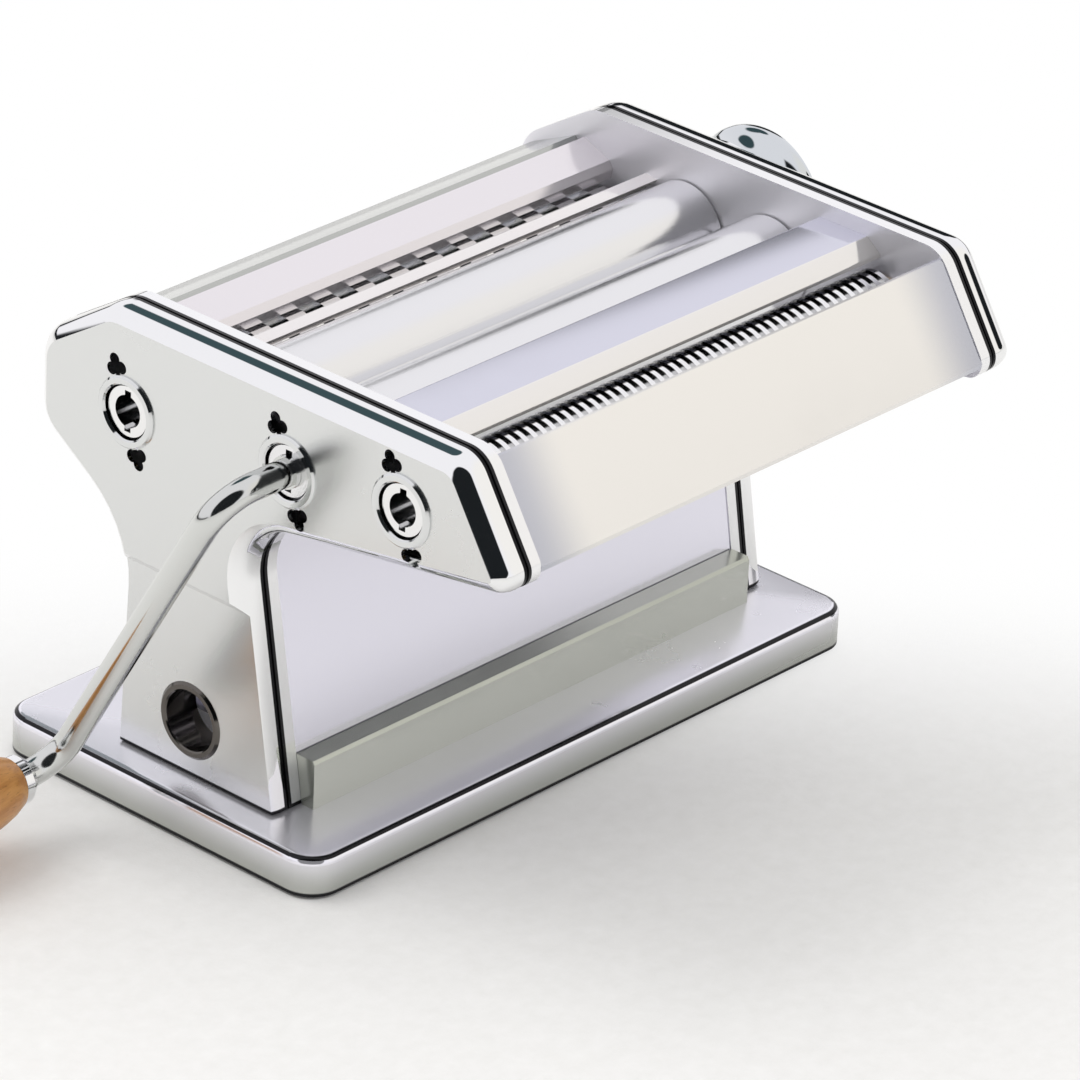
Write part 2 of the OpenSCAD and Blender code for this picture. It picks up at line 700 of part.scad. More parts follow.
// ---- smooth rollers ----
// A crank socket: a blind bore with a slot across its mouth.
module crank_socket(axis) {
    mouth = face_x - 0.4;
    bar(axis, mouth - socket_depth, mouth + 1, socket_bore_r);
    along_x(mouth - 3, mouth + 1) translate(axis) square([2.2, 2 * socket_bore_r + 2.6], center = true);
}

socket_end_x = face_x - 0.4;

module main_roller() {
    color([0.82, 0.83, 0.84]) {
        bar(main_axis, -roller_x + 14, roller_x, roller_r);
        mirror([1, 0, 0]) difference() {
            union() {
                bar(main_axis, roller_x - 14.01, roller_x, roller_r);
                bar(main_axis, roller_x - 0.01, socket_end_x, socket_r);
            }
            crank_socket(main_axis);
        }
        bar(main_axis, roller_x - 0.01, bush_x1 + 1, journal_r);
    }
}

roller_pitch_r = (norm(dial_axis - main_axis)) / 2;
roller_tooth = 2 * PI * roller_pitch_r / roller_teeth;

// Deep, slim teeth that stay in mesh from the narrowest gap to the widest.
module roller_gear(axis, bore, turn) {
    root = (norm(dial_axis - main_axis) - ecc) / 2 - 1.95;
    tip = root + 3.7;
    along_x(gear_x0, gear_x1) translate(axis) difference() {
        rotate(turn) polygon(gear_points(roller_teeth, root, roller_pitch_r - 0.7, tip,
            0.38 * roller_tooth, 0.235 * roller_tooth, 0.11 * roller_tooth));
        circle(r = bore);
    }
}

module main_gear() {
    color([0.55, 0.55, 0.57]) mirror([1, 0, 0]) roller_gear(main_axis, socket_r, 0);
}

module adjustable_roller() {
    color([0.82, 0.83, 0.84]) {
        ring(adjust_axis, -roller_x, roller_x, shaft_r + running_gap, roller_r);
        ring(adjust_axis, -gear_x1 - 0.2, -roller_x + 0.01, shaft_r + running_gap, hub_r);
    }
}

module adjustable_gear() {
    color([0.55, 0.55, 0.57]) mirror([1, 0, 0])
        roller_gear(adjust_axis, hub_r, 180 / roller_teeth);
}

// Bronze washer round the adjustable roller's hub: it covers the hub's moving room
// in the frame, and slides along the frame with the hub without turning.
module hub_shield() {
    color([0.75, 0.6, 0.35]) mirror([1, 0, 0])
        ring(adjust_axis, frame_out_x + 0.3, gear_x0 - 0.5, hub_r + running_gap, 2 * hub_r);
}

// ---- cutters ----
// X of every second strand place; phase 0 or 1 picks the set.
function ring_places(strand, phase) =
    let (span = 2 * roller_x - 2, n = floor(span / strand), x0 = -n * strand / 2)
    [for (i = [0:n - 1]) if (i % 2 == phase) x0 + (i + 0.5) * strand];

module cutter(axis, strand, phase) {
    core = cutter_r - groove_depth;
    places = ring_places(strand, phase);
    half = strand / 2 - ring_play / 2;
    turned(axis, concat([[0, -roller_x], [core, -roller_x]],
        [for (x = places) each [[core, x - half], [cutter_r, x - half], [cutter_r, x + half], [core, x + half]]],
        [[core, roller_x], [0, roller_x]]));
    bar(axis, roller_x - 0.01, gear_x1 + 0.2, journal_r);
}

// The driven cutter of a pair, with the crank's socket.
module drive_cutter(axis, strand) {
    color([0.82, 0.83, 0.84]) difference() {
        union() {
            cutter(axis, strand, 0);
            mirror([1, 0, 0]) bar(axis, roller_x - 0.01, socket_end_x, socket_r);
        }
        mirror([1, 0, 0]) crank_socket(axis);
    }
}

module mate_cutter(axis, strand) {
    color([0.82, 0.83, 0.84]) {
        cutter(axis, strand, 1);
        mirror([1, 0, 0]) bar(axis, roller_x - 0.01, bush_x1 + 0.6, journal_r);
    }
}

cutter_tooth = PI * cutter_gap / cutter_teeth;

module cutter_gear(axis, turn) {
    pitch_r = cutter_gap / 2;
    root = pitch_r - 1.25;
    tip = pitch_r + 1.1;
    color([0.55, 0.55, 0.57]) along_x(gear_x0, gear_x1) translate(axis) difference() {
        rotate(turn) polygon(gear_points(cutter_teeth, root, pitch_r, tip,
            0.6 * cutter_tooth, 0.42 * cutter_tooth, 0.24 * cutter_tooth));
        circle(r = journal_r);
    }
}

module front_drive_cutter() { drive_cutter(front_axis, fine_strand); }
module front_mate_cutter() { mate_cutter(front_mate_axis, fine_strand); }
module rear_drive_cutter() { drive_cutter(rear_axis, wide_strand); }
module rear_mate_cutter() { mate_cutter(rear_mate_axis, wide_strand); }
module front_drive_gear() { cutter_gear(front_axis, front_dir); }
module front_mate_gear() { cutter_gear(front_mate_axis, front_dir + 180 + 180 / cutter_teeth); }
module rear_drive_gear() { cutter_gear(rear_axis, rear_dir); }
module rear_mate_gear() { cutter_gear(rear_mate_axis, rear_dir + 180 + 180 / cutter_teeth); }

// ---- thickness dial ----
shaft_r = 5;                                     // the shaft's eccentric middle
knob_x = face_x + dial_plate_t + 0.8;            // back of the knob
knob_end_x = knob_x + knob_depth;
key_r = 4;                                       // square drive of the knob, half width
boss_r = 9;
spring_wire = 0.6;
spring_coils = 3;
chamber_depth = knob_travel + 5.6;               // spring room in the knob's front

module adjust_shaft() {
    color([0.7, 0.7, 0.72]) {
        bar(adjust_axis, -gear_x1 - 0.3, roller_x + 0.2, shaft_r);
        bar(dial_axis, -face_in_x + 0.4, -gear_x1 - 0.29, stub_r);
        bar(dial_axis, roller_x + 0.19, face_x + dial_plate_t + 0.6, socket_r);
        along_x(face_x + dial_plate_t + 0.59, knob_end_x - 5) translate(dial_axis)
            square(2 * key_r, center = true);
    }
}

index_ring_r = 15.5;
index_pin_r = 1.4;

module dial_plate() {
    color([0.9, 0.9, 0.9]) ring(dial_axis, face_x, face_x + dial_plate_t, socket_r + 0.6, knob_r - 0.5);
}

module index_pin() {
    color([0.6, 0.6, 0.6])
        bar(dial_axis + [0, index_ring_r], face_x + dial_plate_t, knob_x + 1.6, index_pin_r);
}

module adjust_knob() {
    back = knob_x;
    front = knob_end_x;
    color([0.86, 0.87, 0.88]) difference() {
        union() {
            turned(dial_axis, [[0, back], [knob_r - 1.5, back], [knob_r, back + 1.2],
                [knob_r, back + 4.2], [knob_r - 1.2, back + 5.6], [knob_r - 4.5, back + 6.6],
                [knob_r - 7, back + 9], [knob_r - 8, front - 3], [knob_r - 9.6, front - 0.8],
                [knob_r - 12, front], [0, front]]);
            along_x(back + 5, front - 1.4) translate(dial_axis)
                for (t = [0:60:179]) rotate(t) square([2 * knob_r - 7, 5], center = true);
        }
        // annular track for the index pin, with the index holes in its floor
        ring(dial_axis, back - 1, back + 2, index_ring_r - index_pin_r - 0.5, index_ring_r + index_pin_r + 0.5);
        for (i = [0:8])
            bar(dial_axis + index_ring_r * [sin(22.5 * i), cos(22.5 * i)], back, back + 4.4, index_pin_r + 0.1);
        // square drive, spring chamber and screw recess
        along_x(back - 1, front - chamber_depth + 0.01) translate(dial_axis)
            square(2 * key_r + 0.1, center = true);
        bar(dial_axis, front - chamber_depth, front + 1, boss_r - 1.5);
    }
}

spring_r = 6.4;

module knob_spring() {
    x0 = knob_end_x - chamber_depth + 0.05;
    pitch = (screw_head_x - x0 - spring_wire) / spring_coils;
    color([0.6, 0.6, 0.6]) for (i = [0:spring_coils])
        translate([x0 + spring_wire / 2 + i * pitch, dial_axis.x, dial_axis.y]) rotate([0, 90, 0])
            rotate_extrude() translate([spring_r, 0]) circle(r = spring_wire / 2, $fn = 16);
}

screw_head_x = knob_end_x - 2.2;

module knob_screw() {
    color([0.75, 0.75, 0.77]) difference() {
        union() {
            bar(dial_axis, knob_end_x - 5, screw_head_x + 0.01, 3);
            bar(dial_axis, screw_head_x, knob_end_x - 0.6, boss_r - 1.8);
        }
        along_x(knob_end_x - 1.4, knob_end_x) translate(dial_axis) square([1.2, 20], center = true);
    }
}

// ---- crank ----
arm_x = face_x + crank_reach;
grip_x0 = arm_x + crank_bend + 6;

grip_pin_r = 3;
bend_steps = 8;

// The rod's middle line as [X, distance from the crank's axis, heading].
rod_line = concat(
    [[socket_end_x + 1, 0, 0]],
    [for (i = [0:bend_steps]) let (h = 90 * i / bend_steps)
        [arm_x + crank_bend * (sin(h) - 1), crank_bend * (1 - cos(h)), h]],
    [for (i = [bend_steps:-1:0]) let (h = 90 * i / bend_steps)
        [arm_x + crank_bend * (1 - sin(h)), crank_throw - crank_bend * (1 - cos(h)), h]],
    [[arm_x + crank_bend + 1, crank_throw, 0]]);

// Round rod swept along the middle line.
module crank_rod(sides = 32) {
    m = len(rod_line);
    side_dir = left_of(crank_dir);
    polyhedron(
        points = [for (p = rod_line, i = [0:sides - 1])
            let (a = 360 * i / sides, out = crank_rod_r * cos(a),
                 yz = main_axis + (p[1] + out * cos(p[2])) * crank_dir + crank_rod_r * sin(a) * side_dir)
            [-p[0] + out * sin(p[2]), yz.x, yz.y]],
        faces = concat(
            [[for (i = [sides - 1:-1:0]) i]],
            [for (k = [0:m - 2], i = [0:sides - 1])
                [k * sides + i, k * sides + (i + 1) % sides,
                 (k + 1) * sides + (i + 1) % sides, (k + 1) * sides + i]],
            [[for (i = [0:sides - 1]) (m - 1) * sides + i]]));
}

module crank_arm() {
    color([0.84, 0.85, 0.86]) {
        crank_rod();
        mirror([1, 0, 0]) {
            bar(main_axis, socket_end_x - socket_depth + 1, socket_end_x + 1.5, socket_bore_r - running_gap);
            bar(grip_axis, arm_x + crank_bend + 0.5, grip_x0 + grip_length - 1, grip_pin_r);
        }
    }
}

module crank_ferrule() {
    color([0.8, 0.8, 0.82]) mirror([1, 0, 0]) turned(grip_axis, [[grip_pin_r + seat, arm_x + crank_bend + 1],
        [crank_rod_r + 1.6, arm_x + crank_bend + 1], [crank_rod_r + 3, arm_x + crank_bend + 3],
        [crank_rod_r + 3, grip_x0 - 0.4], [grip_pin_r + seat, grip_x0 - 0.4]]);
}

module crank_grip() {
    l = grip_length - 4;
    // swelling profile: narrow neck, full palm, rounded end
    profile = [for (i = [0:16]) let (t = i / 16)
        [grip_r * (0.62 + 0.38 * sin(180 * pow(t, 0.8)) * (1 - 0.15 * t)) + (t > 0.99 ? -1.5 : 0), grip_x0 + l * t]];
    color([0.74, 0.45, 0.18]) mirror([1, 0, 0]) turned(grip_axis,
        concat([[grip_pin_r + 0.08, grip_x0]], profile, [[grip_pin_r + 0.08, grip_x0 + l]]));
}

module grip_rivet() {
    x = grip_x0 + grip_length - 3.6;
    color([0.8, 0.8, 0.82]) mirror([1, 0, 0]) turned(grip_axis, [[grip_pin_r + seat, x],
        [grip_pin_r + 3, x], [grip_pin_r + 2.4, x + 1.6], [grip_pin_r + 0.6, x + 2.6],
        [grip_pin_r + seat, x + 2.6]]);
}

base_pan();
anti_slip_mat();
leg_brackets();
base_screws();
left_side_frame();
right_side_frame();
left_side_cover();
right_side_cover();
left_standoffs();
right_standoffs();
tie_rods();
tie_rod_nuts();
front_panel();
front_guard();
rear_guard();
rear_panel();
leg_front_panel();
leg_rear_panel();
leg_front_sill();
socket_collars();
socket_bushes();
journal_bushes();
adjuster_bearing();
clamp_bush();
main_scraper();
adjustable_scraper();
front_drive_comb();
front_mate_comb();
rear_drive_comb();
rear_mate_comb();
main_roller();
main_gear();
adjustable_roller();
adjustable_gear();
hub_shield();
front_drive_cutter();
front_drive_gear();
front_mate_cutter();
front_mate_gear();
rear_drive_cutter();
rear_drive_gear();
rear_mate_cutter();
rear_mate_gear();
adjust_shaft();
adjust_knob();
knob_spring();
knob_screw();
dial_plate();
index_pin();
crank_arm();
crank_ferrule();
crank_grip();
grip_rivet();
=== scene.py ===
# %% [markdown]
# # A hand-cranked pasta roller machine
#
# The machine is nearly all polished metal. A mirror has no colour of its own: it shows
# what stands round it. So this lesson spends its effort on three things: smooth normals,
# so that the reflections flow over the rolled edges; finishes with fine marks, so that
# the metal looks handled and not computed; and a studio whose bright and dark zones
# give each edge its light and dark lines. The dark lines at joints, feet and the pan's
# roll are painted shade and a painted reflection in the finishes.

# %% Load the imported model
import json
import math

import bmesh
import bpy
from mathutils import Matrix, Vector


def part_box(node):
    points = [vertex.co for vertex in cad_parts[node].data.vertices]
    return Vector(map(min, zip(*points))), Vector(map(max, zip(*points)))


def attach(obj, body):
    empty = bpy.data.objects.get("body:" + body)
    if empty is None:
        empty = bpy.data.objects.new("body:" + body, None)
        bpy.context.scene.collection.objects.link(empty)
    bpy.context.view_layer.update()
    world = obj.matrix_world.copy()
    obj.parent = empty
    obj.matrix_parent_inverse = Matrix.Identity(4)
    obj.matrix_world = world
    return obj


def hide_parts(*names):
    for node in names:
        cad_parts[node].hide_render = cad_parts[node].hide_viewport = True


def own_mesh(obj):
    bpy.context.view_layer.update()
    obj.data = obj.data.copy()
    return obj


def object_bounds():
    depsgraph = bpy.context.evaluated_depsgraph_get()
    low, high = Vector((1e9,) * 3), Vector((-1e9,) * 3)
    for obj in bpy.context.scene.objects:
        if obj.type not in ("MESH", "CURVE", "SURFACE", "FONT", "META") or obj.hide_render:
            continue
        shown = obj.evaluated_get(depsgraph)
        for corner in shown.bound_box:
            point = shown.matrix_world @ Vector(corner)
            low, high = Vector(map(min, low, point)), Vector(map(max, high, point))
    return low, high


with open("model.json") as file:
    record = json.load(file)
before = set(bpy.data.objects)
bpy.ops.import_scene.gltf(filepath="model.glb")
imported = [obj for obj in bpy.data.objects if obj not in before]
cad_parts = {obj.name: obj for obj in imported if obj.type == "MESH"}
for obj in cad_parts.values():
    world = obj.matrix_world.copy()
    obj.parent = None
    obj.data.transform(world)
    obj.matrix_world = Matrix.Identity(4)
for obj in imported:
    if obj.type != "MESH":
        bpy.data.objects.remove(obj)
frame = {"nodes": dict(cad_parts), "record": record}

cad_low, cad_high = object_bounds()
nodes = frame["nodes"]
print("nodes:", len(nodes), "size:", [round(v, 4) for v in cad_high - cad_low])

# %% [markdown]
# ## The camera
#
# The machine is seen from its crank side, from above and in front, through a long lens.
# A camera can be aimed with a constraint, but this one also leans a little about its own
# line of sight. So its matrix is built from three unit vectors (right, up and back),
# which keeps the azimuth, the elevation and the lean readable as three angles.

# %% Camera
AZIMUTH = math.radians(48.43)      # from the front (-Y) towards the crank side (-X)
ELEVATION = math.radians(27.12)
ROLL = math.radians(2.6)
DISTANCE = 2.021                   # along the line of sight, in metres
AIM = Vector((0, 0.0325, 0))       # a point of the base
AIM_RIGHT, AIM_UP = 0.053, 0.0305  # from that point to the middle of the picture
LENS, SENSOR = 247.1, 36           # mm

level_right = Vector((math.cos(AZIMUTH), -math.sin(AZIMUTH), 0))
back = Vector((-math.sin(AZIMUTH) * math.cos(ELEVATION),
               -math.cos(AZIMUTH) * math.cos(ELEVATION), math.sin(ELEVATION)))
level_up = back.cross(level_right)
right = math.cos(ROLL) * level_right + math.sin(ROLL) * level_up
up = back.cross(right)
place = AIM + AIM_RIGHT * right + AIM_UP * up + DISTANCE * back

camera = bpy.data.objects.new("camera", bpy.data.cameras.new("camera"))
camera.data.lens = LENS
camera.data.sensor_width = SENSOR
turn_of_camera = Matrix((right, up, back)).transposed().to_4x4()
camera.matrix_world = Matrix.Translation(place) @ turn_of_camera
bpy.context.scene.collection.objects.link(camera)
bpy.context.scene.camera = camera
print("camera at", [round(v, 3) for v in place])

# %% [markdown]
# ## Small helpers for node trees
#
# Materials, groups and the world are all node trees. Each node could be made and joined
# line by line, but four short functions say the same in less: `feed` joins a socket or
# fills it, `add` makes a node and feeds its inputs, `add_group` does so for a group, and
# `math_node` does one sum.

# %% Node helpers
def feed(tree, socket, value):
    """Joins a socket to another one, or gives it a plain value."""
    if isinstance(value, bpy.types.NodeSocket):
        tree.links.new(value, socket)
    elif socket.type == "RGBA":
        socket.default_value = (*value, 1)
    else:
        socket.default_value = value


def add(tree, kind, **inputs):
    node = tree.nodes.new(kind)
    for label, value in inputs.items():
        feed(tree, node.inputs[label.replace("_", " ")], value)
    return node


def add_group(tree, group, **inputs):
    node = tree.nodes.new("ShaderNodeGroup")
    node.node_tree = group
    for label, value in inputs.items():
        feed(tree, node.inputs[label.replace("_", " ")], value)
    return node


def math_node(tree, operation, a, b=0.0):
    node = tree.nodes.new("ShaderNodeMath")
    node.operation = operation
    for socket, value in zip(node.inputs, (a, b)):
        feed(tree, socket, value)
    return node.outputs[0]


print("helpers:", [helper.__name__ for helper in (feed, add, add_group, math_node)])

# %% [markdown]
# ## Smooth normals for the CAD meshes
#
# A CAD mesh arrives with each face's corners kept apart, so a rolled edge made of
# narrow strips shows as strips. In a mirror that is very visible. Each mesh could be
# welded by hand, but one small geometry-node group does it for all of them: it welds
# the corners and smooths every edge that turns by less than a given angle, while
# sharper edges stay crisp. It is a modifier, so the CAD mesh itself stays as it is.

# %% The soft_edges modifier
CREASE = 24          # degrees: anything that turns more stays a crisp line
WELD = 0.000002      # metres: corners that are closer become one


def soft_edges_group(name, angle_degrees):
    tree = bpy.data.node_groups.new(name, "GeometryNodeTree")
    for way in ("INPUT", "OUTPUT"):
        tree.interface.new_socket("Geometry", in_out=way, socket_type="NodeSocketGeometry")
    start = tree.nodes.new("NodeGroupInput")
    end = tree.nodes.new("NodeGroupOutput")
    plain = add(tree, "GeometryNodeRemoveAttribute", Geometry=start.outputs[0],
                Name="custom_normal")
    weld = add(tree, "GeometryNodeMergeByDistance", Geometry=plain.outputs[0], Distance=WELD)
    faces = add(tree, "GeometryNodeSetShadeSmooth", Geometry=weld.outputs[0],
                Shade_Smooth=True)
    angle = tree.nodes.new("GeometryNodeInputMeshEdgeAngle")
    small = math_node(tree, "LESS_THAN", angle.outputs[0], math.radians(angle_degrees))
    edges = add(tree, "GeometryNodeSetShadeSmooth", Geometry=faces.outputs[0],
                Shade_Smooth=small)
    edges.domain = "EDGE"
    tree.links.new(edges.outputs[0], end.inputs[0])
    return tree


def soften(item):
    modifier = item.modifiers.new("soft_edges", "NODES")
    modifier.node_group = soft_edges


soft_edges = soft_edges_group("soft_edges", CREASE)
for node in nodes.values():
    soften(node)
print("smoothed", len(nodes), "nodes")

# %% [markdown]
# ## The two bent sheets
#
# The front guard is folded down at the back and runs on in front as a narrow slope over
# the cutter, and a smaller bent sheet stands behind the smooth rollers. Each could be
# cut from a box, but the real ones are flat strips that were bent. So a line of points
# gets a round corner at each bend, is thickened to one side and drawn out along X.

# %% A bent sheet
MM = 0.001
BEND_STEPS = 6


def new_piece(name, verts, faces):
    """A mesh object whose faces all look outwards."""
    mesh = bpy.data.meshes.new(name)
    mesh.from_pydata(verts, [], faces)
    bm = bmesh.new()
    bm.from_mesh(mesh)
    bmesh.ops.recalc_face_normals(bm, faces=bm.faces)
    bm.to_mesh(mesh)
    bm.free()
    piece = bpy.data.objects.new(name, mesh)
    bpy.context.scene.collection.objects.link(piece)
    return piece


def rounded(points, radius):
    """The points of a line with an arc in place of each inner corner."""
    line = [Vector(points[0])]
    for before, corner, after in zip(points, points[1:], points[2:]):
        corner = Vector(corner)
        back_way = (Vector(before) - corner).normalized()
        on_way = (Vector(after) - corner).normalized()
        half = back_way.angle(on_way) / 2
        run = radius / math.tan(half)
        middle = corner + (back_way + on_way).normalized() * (radius / math.sin(half))
        first, last = corner + back_way * run - middle, corner + on_way * run - middle
        for step in range(BEND_STEPS + 1):
            line.append(middle + first.slerp(last, step / BEND_STEPS))
    line.append(Vector(points[-1]))
    return line


def bent_sheet(name, points, thickness, radius, half_width):
    """Points are (y, z) in millimetres; the sheet's thickness lies to their left."""
    line = rounded(points, radius)
    inner = []
    for i, point in enumerate(line):
        way = (line[min(i + 1, len(line) - 1)] - line[max(i - 1, 0)]).normalized()
        inner.append(point + thickness * Vector((-way.y, way.x)))
    ring = line + inner[::-1]
    count = len(ring)
    verts = [(side * half_width, p.x * MM, p.y * MM) for side in (-1, 1) for p in ring]
    ends = [list(range(count)), list(range(2 * count - 1, count - 1, -1))]
    strips = [(i, i + count, (i + 1) % count + count, (i + 1) % count)
              for i in range(count)]
    piece = new_piece(name, verts, ends + strips)
    soften(piece)
    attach(piece, "frame")
    return piece


print("arc points at each bend:", BEND_STEPS + 1)

# %% The front guard with its slope, and the sheet behind the rollers
GUARD_LINE = [(-54.1, 127.0), (-54.4, 134.0), (-71.4, 134.0), (-76.0, 130.5), (-76.4, 129.6)]
GUARD_THICK, GUARD_BEND = 1.0, 0.9           # millimetres
MIDDLE_LINE = [(7.2, 121.4), (7.2, 125.8), (2.8, 125.3)]
MIDDLE_THICK, MIDDLE_BEND = 0.8, 0.7

guard_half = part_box("front_guard")[1].x
front_slope = bent_sheet("front_guard_sheet", GUARD_LINE, GUARD_THICK, GUARD_BEND, guard_half)
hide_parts("front_guard")
middle_sheet = bent_sheet("middle_sheet", MIDDLE_LINE, MIDDLE_THICK, MIDDLE_BEND, guard_half)
print("bent sheets:", front_slope.name, middle_sheet.name)

# %% [markdown]
# ## The knob of the thickness dial
#
# The knob is a smooth drum that flares out to a wide round rim, with a hollow in its
# face for the screw. It could be joined from cylinders and cones, but its sides are one
# flowing curve. So its outline is turned round the shaft, as on a lathe.

# %% The knob, turned round its shaft
KNOB_OUTLINE = [                   # radius and depth from the back, in millimetres
    (0.0, 0.6), (13.2, 0.6), (13.2, 0.0), (18.4, 0.0), (18.7, 0.3), (18.8, 4.0),
    (19.3, 6.4), (20.4, 8.6), (21.2, 9.8), (21.5, 11.2), (21.45, 12.6), (20.9, 13.9),
    (19.6, 15.0), (17.0, 16.0), (13.6, 16.7), (10.6, 17.0), (8.2, 17.0), (7.6, 16.7),
    (7.5, 16.2), (7.5, 7.4), (0.0, 7.4)]
RING_POINTS = 96


def turned_knob(name, outline, centre, x_back):
    verts, rings, faces = [], [], []
    for radius, depth in outline:
        count = RING_POINTS if radius else 1           # on the axis a ring is one point
        rings.append([len(verts) + i for i in range(count)])
        for i in range(count):
            turn = 2 * math.pi * i / RING_POINTS
            verts.append((x_back + depth * MM, centre.x + radius * MM * math.cos(turn),
                          centre.y + radius * MM * math.sin(turn)))
    for low_ring, high_ring in zip(rings, rings[1:]):
        for i in range(RING_POINTS):
            corners = [low_ring[i % len(low_ring)], low_ring[(i + 1) % len(low_ring)],
                       high_ring[(i + 1) % len(high_ring)], high_ring[i % len(high_ring)]]
            faces.append(list(dict.fromkeys(corners)))
    return new_piece(name, verts, faces)


knob_low, knob_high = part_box("adjust_knob")
knob_centre = Vector(((knob_low.y + knob_high.y) / 2, (knob_low.z + knob_high.z) / 2))
knob = turned_knob("dial_knob", KNOB_OUTLINE, knob_centre, knob_low.x)
soften(knob)
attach(knob, "knob")
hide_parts("adjust_knob")
print("knob outline points:", len(KNOB_OUTLINE))

# %% [markdown]
# ## The spring inside the knob
#
# A spring holds the knob in. A row of rings would be enough for a part so well hidden,
# but a real spring is one wire, and that is hardly more work: a point runs along the
# winding, and a small circle is set round it at each step. The spring rides on the knob.

# %% The coil
SPRING_RADIUS = 0.0064             # to the middle of the wire
SPRING_TURNS = 4
TURN_STEPS, WIRE_POINTS = 36, 10   # points on a turn, and round the wire


def coil(name, low_x, high_x, centre, radius, wire, turns):
    verts, faces = [], []
    count = turns * TURN_STEPS
    for i in range(count + 1):
        turn = 2 * math.pi * i / TURN_STEPS
        x = low_x + wire + (high_x - low_x - 2 * wire) * i / count
        for k in range(WIRE_POINTS):
            angle = 2 * math.pi * k / WIRE_POINTS
            reach = radius + wire * math.cos(angle)
            verts.append((x + wire * math.sin(angle), centre.x + reach * math.cos(turn),
                          centre.y + reach * math.sin(turn)))
    for i in range(count):
        for k in range(WIRE_POINTS):
            a, b = i * WIRE_POINTS + k, i * WIRE_POINTS + (k + 1) % WIRE_POINTS
            faces.append((a, b, b + WIRE_POINTS, a + WIRE_POINTS))
    last = count * WIRE_POINTS
    faces += [tuple(range(WIRE_POINTS)), tuple(range(last, last + WIRE_POINTS))]
    piece = new_piece(name, verts, faces)
    piece.data.shade_smooth()
    return piece


spring_low, spring_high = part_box("knob_spring")
spring_wire = (spring_high.y - spring_low.y) / 2 - SPRING_RADIUS
spring = coil("return_spring", spring_low.x, spring_high.x, knob_centre, SPRING_RADIUS,
              spring_wire, SPRING_TURNS)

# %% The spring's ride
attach(spring, "knob")
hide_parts("knob_spring")
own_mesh(spring)

# %% [markdown]
# ## Marks of use
#
# Polished plating is never perfect. Its marks could be painted in an image, but noise
# has the same scale on every part and needs no unwrapping. The group `handling` gives
# faint smudges and specks, which change the roughness in soft patches, and a very fine
# ripple that bends the reflections a little, as on pressed sheet.

# %% Helpers for groups
def soft_range(tree, value, low, high):
    """0 at low and 1 at high, with a soft start and end."""
    node = tree.nodes.new("ShaderNodeMapRange")
    node.interpolation_type = "SMOOTHSTEP"
    for label, content in (("Value", value), ("From Min", low), ("From Max", high)):
        feed(tree, node.inputs[label], content)
    return node.outputs["Result"]


def new_group(name, inputs, outputs):
    """A shader group with float inputs, given with their defaults, and float outputs."""
    tree = bpy.data.node_groups.new(name, "ShaderNodeTree")
    kind = "NodeSocketFloat"
    for label, default in inputs:
        socket = tree.interface.new_socket(label, in_out="INPUT", socket_type=kind)
        socket.default_value = default
    for label in outputs:
        tree.interface.new_socket(label, in_out="OUTPUT", socket_type=kind)
    return tree, tree.nodes.new("NodeGroupInput"), tree.nodes.new("NodeGroupOutput")


def object_position(tree, stretch=(1, 1, 1)):
    coordinates = tree.nodes.new("ShaderNodeTexCoord")
    mapping = add(tree, "ShaderNodeMapping", Vector=coordinates.outputs["Object"], Scale=stretch)
    return mapping.outputs["Vector"]


def noise(tree, position, scale, detail, **more):
    texture = add(tree, "ShaderNodeTexNoise", Vector=position, Scale=scale, Detail=detail, **more)
    return texture.outputs[0]


print("helpers:", [helper.__name__ for helper in (soft_range, new_group, object_position, noise)])

# %% Group: handling
PATCH_SCALE, SPECK_SCALE, RIPPLE_SCALE = 28.0, 900.0, 14.0
PATCH_RANGE, SPECK_RANGE = (0.45, 0.75), (0.58, 0.80)  # noise where a mark starts and is full
SPECK_SHARE = 0.15                                     # beside the full strength of a patch

handling, start, end = new_group(
    "handling", [("Roughness", 0.05), ("Smudge", 0.05), ("Ripple", 1.0)], ["Roughness", "Height"])
position = object_position(handling)
patches = noise(handling, position, PATCH_SCALE, 4.0, Roughness=0.6)
specks = noise(handling, position, SPECK_SCALE, 2.0)
ripple = noise(handling, position, RIPPLE_SCALE, 1.0)
speck_mask = soft_range(handling, specks, *SPECK_RANGE)
marks = math_node(handling, "ADD", soft_range(handling, patches, *PATCH_RANGE),
                  math_node(handling, "MULTIPLY", speck_mask, SPECK_SHARE))
smudges = math_node(handling, "MULTIPLY", marks, start.outputs["Smudge"])
rough = math_node(handling, "ADD", start.outputs["Roughness"], smudges)
feed(handling, end.inputs["Roughness"], rough)
feed(handling, end.inputs["Height"],
     math_node(handling, "MULTIPLY", ripple, start.outputs["Ripple"]))
print("group", handling.name, "has", len(handling.nodes), "nodes")

# %% [markdown]
# ## Flats, bends and painted dark lines
#
# Pressed parts are mirror bright on their bends and duller on their flats, which the
# press and the cloth touch most. Black lines are painted into the narrow places: painted
# shade at joints and feet, and a painted reflection in the roll of the pan. These
# zones could be painted on, but a surface knows them itself: the direction of its
# normal tells a flat from a bend, and its place tells how near a joint is. Each pressed
# kind of part gets a group with a mask of its flats and a mask of its painted dark lines.

# %% A group with zones
def below(tree, value, low, high):
    """1 up to low, falling softly to 0 at high."""
    return math_node(tree, "SUBTRACT", 1.0, soft_range(tree, value, low, high))


def inside(tree, value, low, high, soft):
    """1 where the value lies between low and high, with soft ends."""
    return math_node(tree, "MULTIPLY", soft_range(tree, value, low - soft, low),
                     below(tree, value, high, high + soft))


